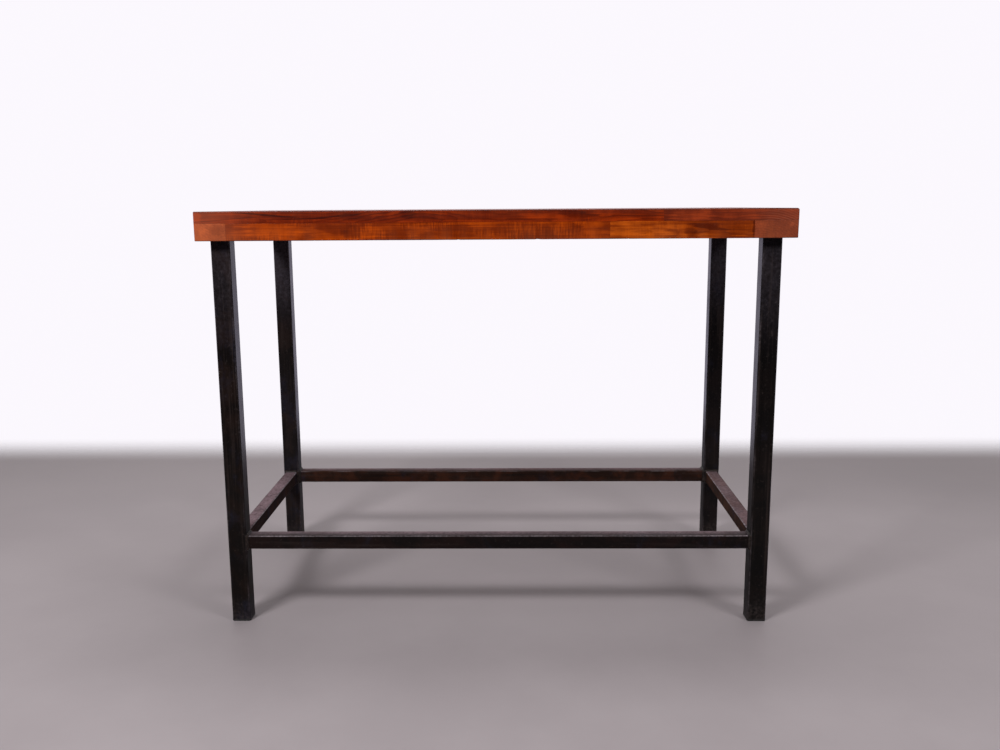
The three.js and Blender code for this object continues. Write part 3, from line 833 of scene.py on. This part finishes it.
def ring_bead(origin, along, rng, on_leg, flush_top):
    """The weld right round a rail's end. Origin is the middle of the end face, and along goes down the
    rail."""
    side = UP.cross(along)
    flat = RAIL_SIZE / 2 - RAIL_RADIUS
    size, radius = (LEG_SIZE, LEG_RADIUS) if on_leg else (RAIL_SIZE, RAIL_RADIUS)
    points, frames = [], []
    for u, v in weld_line():
        normal = Vector((u - max(-flat, min(flat, u)), v - max(-flat, min(flat, v))))
        normal = normal.normalized() if normal.length > 0 else Vector((1, 0))
        toe = abs(u + normal.x * WELD_LEG) if on_leg else abs(v + normal.y * WELD_LEG)
        past = min(max(0.0, toe - (size / 2 - radius)), radius * 0.97)
        drop = radius - math.sqrt(radius ** 2 - past ** 2)
        points.append(origin + side * u + UP * v)
        frames.append((side * normal.x + UP * normal.y, along, drop))
    if not flush_top:
        return bead(points, frames, rng, closed=True)
    limit = origin.z + RAIL_SIZE / 2 - FLUSH_DEPTH
    start = next(i for i, point in enumerate(points) if point.z > limit)
    keep = [i for i in (*range(start, len(points)), *range(start)) if points[i].z <= limit]
    return bead([points[i] for i in keep], [frames[i] for i in keep], rng)


def spatter(origin, along, rng, count):
    """Small drops of metal thrown onto the rail beside a weld."""
    points, faces = [], []
    side = UP.cross(along)
    half = RAIL_SIZE / 2
    for _ in range(count):
        out, across = rng.choice([(side, UP), (-side, UP), (DOWN, side)])
        place = origin + along * (7 + 16 * rng.random() ** 2) * MM + out * half
        place += across * (rng.random() * 2 - 1) * (half - RAIL_RADIUS)
        size = (0.3 + 0.45 * rng.random() ** 2) * MM
        drop = bmesh.new()
        bmesh.ops.create_icosphere(drop, subdivisions=1, radius=size)
        drop.verts.ensure_lookup_table()
        faces += [tuple(len(points) + v.index for v in f.verts) for f in drop.faces]
        points += [place + v.co - out * (v.co.dot(out)) * 0.35 for v in drop.verts]
        drop.free()
    return points, faces


def add_weld(name, *parts):
    points, faces = [], []
    for more_points, more_faces in parts:
        faces += [tuple(len(points) + i for i in face) for face in more_faces]
        points += more_points
    add_piece(name, mesh_from(f"{name}_mesh", points, faces), WELD)


def add_rail_welds():
    rng = random.Random(7)
    for level, z in LEVELS.items():
        for place, axis, sign in RAILS:
            along = Vector((1, 0, 0)) if axis == 0 else Vector((0, 1, 0))
            line = Vector((0, sign * LEG_Y, z)) if axis == 0 else Vector((sign * LEG_X, 0, z))
            for end, name in ((-1, "start"), (1, "end")):
                origin, inward = line + along * RAIL_REACH[axis] * end, along * -end
                ring = ring_bead(origin, inward, rng, on_leg=True, flush_top=level == "upper")
                drops = spatter(origin, inward, rng, SPATTER_DROPS)
                add_weld(f"{level}_weld_{place}_{name}", ring, drops)
    for end, name in ((-1, "front"), (1, "back")):
        origin = Vector((0, end * MIDDLE_REACH, LEVELS["upper"]))
        ring = ring_bead(origin, Vector((0, -end, 0)), rng, on_leg=False, flush_top=True)
        add_weld(f"upper_weld_middle_{name}", ring)


def add_tab_weld(tab, rng):
    """A short bead under the tab, where it meets the side of its rail."""
    low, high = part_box(tab)
    axis = 0 if high.x - low.x < high.y - low.y else 1
    middle = centre(tab)[axis]
    on_outer_rail = abs(middle) > (LEG_X, LEG_Y)[axis] / 2
    outward = Vector((0, 0, 0))
    outward[axis] = math.copysign(1, -middle if on_outer_rail else middle)
    ends = []
    for place in (low[1 - axis] + TAB_WELD_INSET, high[1 - axis] - TAB_WELD_INSET):
        end = low.copy()
        end[axis] = low[axis] if outward[axis] > 0 else high[axis]
        end[1 - axis] = place
        ends.append(end)
    count = int((ends[1] - ends[0]).length / WELD_STEP)
    points = [ends[0].lerp(ends[1], i / count) for i in range(count + 1)]
    add_weld(f"{tab}_weld", bead(points, [(outward, DOWN, 0.0)] * len(points), rng, tapered=True))


# ---- feet ----
SOLE_RADIUS = 6.5 * MM
SOLE_ARRIS = 1.5 * MM
SOLE_TOP_ARRIS = 0.5 * MM
RIBS = 3
# Sections of a foot inside its leg, in mm: how much smaller than the bore, and the corners' radius.
PLUG, RIB, TIP, HOLLOW = (2.8, 3.4), (0.6, 4.4), (3.8, 3), (7.8, 1.2)
# One rib from below: its sections, each at a height from its middle.
RIB_PROFILE = [(PLUG, -0.8 * MM), (RIB, -0.4 * MM), (RIB, 0.2 * MM), (PLUG, 0.8 * MM)]


def add_foot(place):
    """A moulded foot: softened sole, then a ribbed hollow plug that goes up inside the leg."""
    node = f"foot_{place}"
    low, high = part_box(node)
    middle = centre(node)
    sole, sole_top = high.x - low.x, leg_low.z
    rings = []

    def ring(size, radius, z):
        rings.append([Vector((middle.x + u, middle.y + v, z)) for u, v in rounded_square(size, radius)])

    def sole_ring(inset, z):
        ring(sole - 2 * inset, SOLE_RADIUS - inset, z)

    def ring_inside(section, z):
        clearance, radius = section
        ring(LEG_SIZE - 2 * LEG_WALL - clearance * MM, radius * MM, z)

    for step in range(6):
        angle = step / 5 * math.pi / 2
        sole_ring(SOLE_ARRIS * (1 - math.sin(angle)), low.z + SOLE_ARRIS * (1 - math.cos(angle)))
    for step in range(4):
        angle = step / 3 * math.pi / 2
        sole_ring(SOLE_TOP_ARRIS * (1 - math.cos(angle)), sole_top - SOLE_TOP_ARRIS * (1 - math.sin(angle)))
    ring_inside(PLUG, sole_top)
    pitch = (high.z - sole_top) / (RIBS + 0.5)
    for i in range(1, RIBS + 1):
        for section, height in RIB_PROFILE:
            ring_inside(section, sole_top + pitch * i + height)
    ring_inside(TIP, high.z)
    ring_inside(HOLLOW, high.z)
    ring_inside(HOLLOW, sole_top)
    mesh = mesh_from(f"{node}_mesh", *skin(rings))
    add_piece(f"{node}_moulding", mesh, PLASTIC, [node], sharp=50)


# ---- screws and tabs ----
HEAD_RADIUS, HEAD_HEIGHT = 5 * MM, 3.2 * MM
SHANK_RADIUS, SHANK_LENGTH = 2.2 * MM, 26 * MM
THREAD_TURNS, TURN_STEPS, THREAD_LENGTH = 7, 6, 19 * MM
RECESS_WIDTH, RECESS_SLOT, RECESS_DEPTH = 5.4 * MM, 1.15 * MM, 1.9 * MM
TAB_ARRIS = 0.6 * MM
# The pan head from its crown to where it bears: shares of its radius and of its height.
HEAD_PROFILE = [(0.35, -1.0), (0.62, -0.97), (0.82, -0.86), (0.94, -0.66), (1.0, -0.4), (1.0, -0.08),
                (0.97, 0.0)]
ROUND = [math.tau * i / 36 for i in range(36)]


def ring_round(z, radii):
    return [Vector((r * math.cos(angle), r * math.sin(angle), z)) for r, angle in zip(radii, ROUND)]


def screw_body():
    """A pan-head wood screw that points up, its head's bearing face at the origin."""
    rings = [ring_round(z * HEAD_HEIGHT, [r * HEAD_RADIUS] * len(ROUND)) for r, z in HEAD_PROFILE]
    steps = THREAD_TURNS * TURN_STEPS
    for step in range(steps + 1):
        crests = [max(0.0, math.cos(angle - math.tau * step / TURN_STEPS)) ** 3 for angle in ROUND]
        radii = [SHANK_RADIUS * (0.86 + 0.14 * crest) for crest in crests]
        rings.append(ring_round(step / steps * THREAD_LENGTH, radii))
    rings.append(ring_round(SHANK_LENGTH, [0.1 * SHANK_RADIUS] * len(ROUND)))
    return mesh_from("screw_body", *skin(rings))


def recess_cutter():
    """A tapered cross for the screwdriver."""
    cross = bmesh.new()
    for width, depth in ((RECESS_WIDTH, RECESS_SLOT), (RECESS_SLOT, RECESS_WIDTH)):
        for vertex in bmesh.ops.create_cube(cross, size=1)["verts"]:
            is_outer = vertex.co.z < 0
            taper = 1.0 if is_outer else 0.55
            vertex.co = Vector((vertex.co.x * width * taper, vertex.co.y * depth * taper,
                                -HEAD_HEIGHT - 1 * MM if is_outer else -HEAD_HEIGHT + RECESS_DEPTH))
    mesh = bpy.data.meshes.new("screw_cross")
    cross.to_mesh(mesh)
    cross.free()
    return mesh


def screw_mesh():
    body = add_object("screw_body", screw_body())
    cutter = add_object("screw_cross", recess_cutter())
    cut = body.modifiers.new("recess", "BOOLEAN")
    cut.object, cut.operation, cut.solver, cut.use_self = cutter, "DIFFERENCE", "EXACT", True
    bpy.context.view_layer.update()
    graph = bpy.context.evaluated_depsgraph_get()
    mesh = bpy.data.meshes.new_from_object(body.evaluated_get(graph))
    bpy.data.objects.remove(body)
    bpy.data.objects.remove(cutter)
    return mesh


def add_fixings():
    master = screw_mesh()
    rng = random.Random(3)
    for number in range(1, FIXINGS + 1):
        tab, screw = f"fixing_tab_{number}", f"fixing_screw_{number}"
        place = centre(screw)
        place.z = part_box(screw)[0].z + HEAD_HEIGHT
        mesh = master.copy()
        mesh.transform(Matrix.Translation(place) @ Matrix.Rotation(rng.random() * math.pi, 4, "Z"))
        add_piece(f"{screw}_pan_head", mesh, ZINC, [screw], sharp=35)
        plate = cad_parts[tab]
        plate.data.materials.clear()
        plate.data.materials.append(STEEL["rail_front"])
        softened = plate.modifiers.new("softened", "BEVEL")
        softened.width, softened.segments, softened.angle_limit = TAB_ARRIS, 3, math.radians(50)
        add_tab_weld(tab, rng)


# ---- the studio ----
BACKGROUND_COLOUR = (0.97, 0.94, 0.99, 1)
WALL_LIGHT_LOW = (0.87, 0.81, 1.0, 1)
WALL_LIGHT_HIGH = (0.98, 0.94, 0.93, 1)
WORLD_FRONT_AND_BACK = (0.06, 0.95)
WORLD_OVERHEAD = 0.38
FLOOR_RADIUS = 7
FLOOR_FADES = (3.2, 6.5)  # distance from the middle where the floor starts to fade, and is gone
FLOOR_FADES_BEHIND = (1.3, 1.75)


def add_floor():
    """A pale grey floor that fades into the background well clear of the table."""
    angles = [math.tau * i / 96 for i in range(96)]
    ring = [(math.cos(angle) * FLOOR_RADIUS, math.sin(angle) * FLOOR_RADIUS, 0) for angle in angles]
    mesh = bpy.data.meshes.new("floor")
    mesh.from_pydata(ring, [], [tuple(range(len(ring)))])
    floor = add_object("floor", mesh)
    m = Material("studio_floor", Specular_IOR_Level=0.2)
    cloud = m.noise(1.6, detail=5.0, roughness=0.6)
    m.to("Base Color", m.over(srgb(144, 136, 139), ((151, 143, 146), m.smooth(cloud, 0.3, 0.7))))
    m.to("Roughness", m.span(cloud, 0.3, 0.7, 0.5, 0.62))
    far = m.node("ShaderNodeVectorMath", {0: m.place}, operation="LENGTH").outputs["Value"]
    gone = m.math("MAXIMUM", m.smooth(far, *FLOOR_FADES), m.smooth(m.xyz(m.place)[1], *FLOOR_FADES_BEHIND))
    m.to("Alpha", m.minus(1.0, gone))
    mesh.materials.append(m.material)


def add_light(name, place, aim, size, power):
    data = bpy.data.lights.new(name, "AREA")
    data.shape, data.size, data.size_y, data.energy = "RECTANGLE", *size, power
    light = add_object(name, data)
    light.location = place
    light.rotation_mode = "QUATERNION"
    light.rotation_quaternion = (Vector(aim) - Vector(place)).to_track_quat("-Z", "Y")


def add_world():
    """A white wall's light from behind the table and a dim room in front of it. The camera itself sees
    one pale background whichever way it looks."""
    world = bpy.data.worlds.new("studio")
    bpy.context.scene.world = world
    world.use_nodes = True
    sky = NodeTree(world.node_tree)
    _, back, up = sky.xyz(sky.node("ShaderNodeTexCoord").outputs["Generated"])
    from_wall = sky.smooth(back, -0.15, 0.65, *WORLD_FRONT_AND_BACK)
    from_above = sky.smooth(up, 0.2, 1.0, 0.0, WORLD_OVERHEAD)
    seen = sky.node("ShaderNodeLightPath").outputs["Is Camera Ray"]
    colour = sky.mix(sky.smooth(up, 0.02, 0.3), WALL_LIGHT_LOW, WALL_LIGHT_HIGH)
    background = sky.nodes["Background"].inputs
    sky.feed(background["Color"], sky.mix(seen, colour, BACKGROUND_COLOUR))
    sky.feed(background["Strength"], sky.mix_value(seen, sky.math("MAXIMUM", from_wall, from_above), 1.0))


def add_studio():
    add_world()
    add_light("key", (-1.9, -2.5, 3.0), (0, -0.3, 0.8), (0.9, 0.7), 100)
    add_light("fill", (2.3, -2.3, 2.7), (0, -0.3, 0.8), (0.9, 0.7), 44)
    add_light("overhead", (0.1, 0.3, 3.4), (0, 0, 0), (1.9, 0.5), 34)
    bpy.context.scene.view_settings.view_transform = "Standard"


def add_camera():
    focal_pixels, image_width, sensor = 938.5, 1000, 36.0
    yaw, pitch, roll = 0.0165, -0.178, -0.0065
    data = bpy.data.cameras.new("camera")
    data.sensor_width, data.lens = sensor, focal_pixels / image_width * sensor
    camera = add_object("camera", data)
    camera.location = (0.0501, -2.7512, 1.1188)
    tilt = Matrix.Rotation(math.pi / 2 + pitch, 3, "X") @ Matrix.Rotation(roll, 3, "Z")
    camera.rotation_mode = "QUATERNION"
    camera.rotation_quaternion = (Matrix.Rotation(yaw, 3, "Z") @ tilt).to_quaternion()
    bpy.context.scene.camera = camera


add_camera()
add_studio()
add_floor()
for plank in BOARDS + LIPPINGS:
    add_plank(plank)
add_tubes()
add_rail_welds()
for corner in CORNERS:
    add_foot(corner)
add_fixings()
